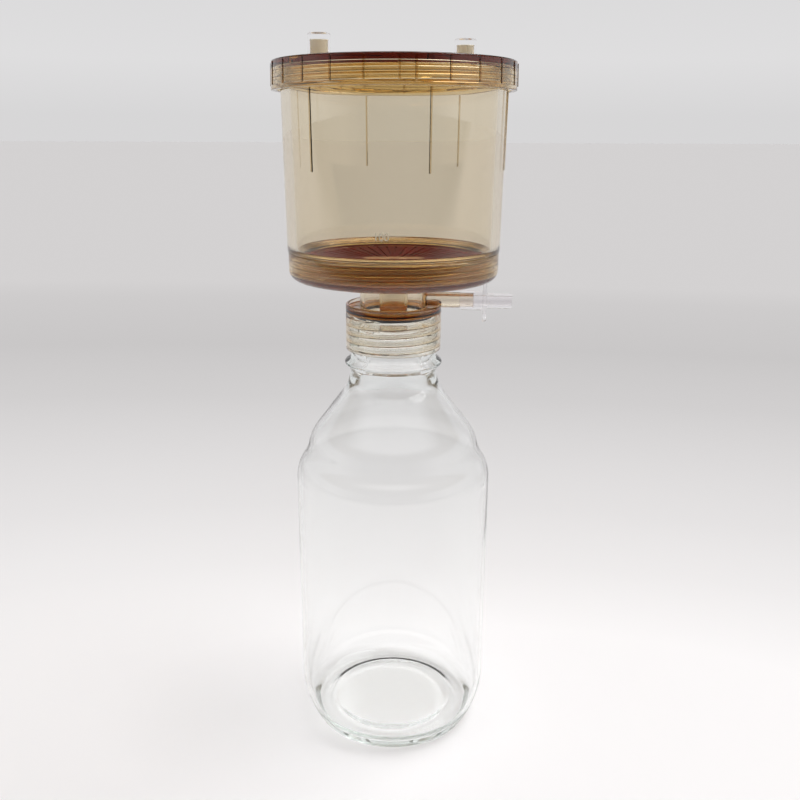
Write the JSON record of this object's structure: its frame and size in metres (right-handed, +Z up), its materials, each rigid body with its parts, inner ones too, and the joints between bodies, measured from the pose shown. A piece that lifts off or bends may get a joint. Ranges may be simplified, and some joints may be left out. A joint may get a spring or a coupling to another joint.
{
  "type": "vacuum filtration unit",
  "caption": "Laboratory vacuum filtration unit: a clear amber screw cup with lid and ports on a filter base with a side arm, screwed onto a glass media bottle.",
  "frame": {"origin": "centre of the bottle's foot, on the bench", "axes": "+Z up along the unit's axis, +X along the vacuum side arm"},
  "size_m": [0.1162, 0.115, 0.3557],
  "materials": {
    "bottle_glass": "clear, polished",
    "dark_rubber": "matt, dark blue-black",
    "amber_plastic": "clear amber, polished",
    "support_plastic": "clear deep amber, grooved",
    "red_rubber": "satin, dark red",
    "clear_silicone": "translucent, satin",
    "milky_plastic": "translucent, milky"
  },
  "bodies": {
    "bottle": {"bottle": "bottle_glass"},
    "base_ring": {"bottle_seal": "dark_rubber"},
    "base": {"filter_base": "amber_plastic", "support_plate": "support_plastic"},
    "cup_ring": {"chamber_seal": "red_rubber"},
    "cup": {"chamber": "amber_plastic"},
    "lid_ring": {"lid_seal": "red_rubber"},
    "lid": {"lid": "amber_plastic"},
    "cap_right": {"port_cap_right": "clear_silicone"},
    "cap_left": {"port_cap_left": "clear_silicone"},
    "connector": {"hose_connector": "milky_plastic"}
  },
  "joints": [
    {"name": "base_lift", "type": "slide", "parent": "bottle", "child": "base_ring", "axis": [0, 0, 1], "range_m": [0, 0.0161]},
    {"name": "base_turn", "type": "hinge", "parent": "base_ring", "child": "base", "pos_m": [0, 0, 0.2273], "axis": [0, 0, 1], "range_deg": [0, 1440]},
    {"name": "cup_lift", "type": "slide", "parent": "base", "child": "cup_ring", "axis": [0, 0, 1], "range_m": [0, 0.0121]},
    {"name": "cup_turn", "type": "hinge", "parent": "cup_ring", "child": "cup", "pos_m": [0, 0, 0.256], "axis": [0, 0, 1], "range_deg": [0, 1440]},
    {"name": "lid_lift", "type": "slide", "parent": "cup", "child": "lid_ring", "axis": [0, 0, 1], "range_m": [0, 0.0106]},
    {"name": "lid_turn", "type": "hinge", "parent": "lid_ring", "child": "lid", "pos_m": [0, 0, 0.3415], "axis": [0, 0, 1], "range_deg": [0, 1260]},
    {"name": "cap_right_pull", "type": "slide", "parent": "lid", "child": "cap_right", "axis": [0, 0, 1], "range_m": [0, 0.01]},
    {"name": "cap_left_pull", "type": "slide", "parent": "lid", "child": "cap_left", "axis": [0, 0, 1], "range_m": [0, 0.01]},
    {"name": "connector_pull", "type": "slide", "parent": "base", "child": "connector", "axis": [1, 0, 0], "range_m": [0, 0.008]}
  ],
  "couplings": [
    {"joint": "base_lift", "follows": "base_turn", "m_per_rad": 0.00063662},
    {"joint": "cup_lift", "follows": "cup_turn", "m_per_rad": 0.00047746},
    {"joint": "lid_lift", "follows": "lid_turn", "m_per_rad": 0.00047746}
  ]
}
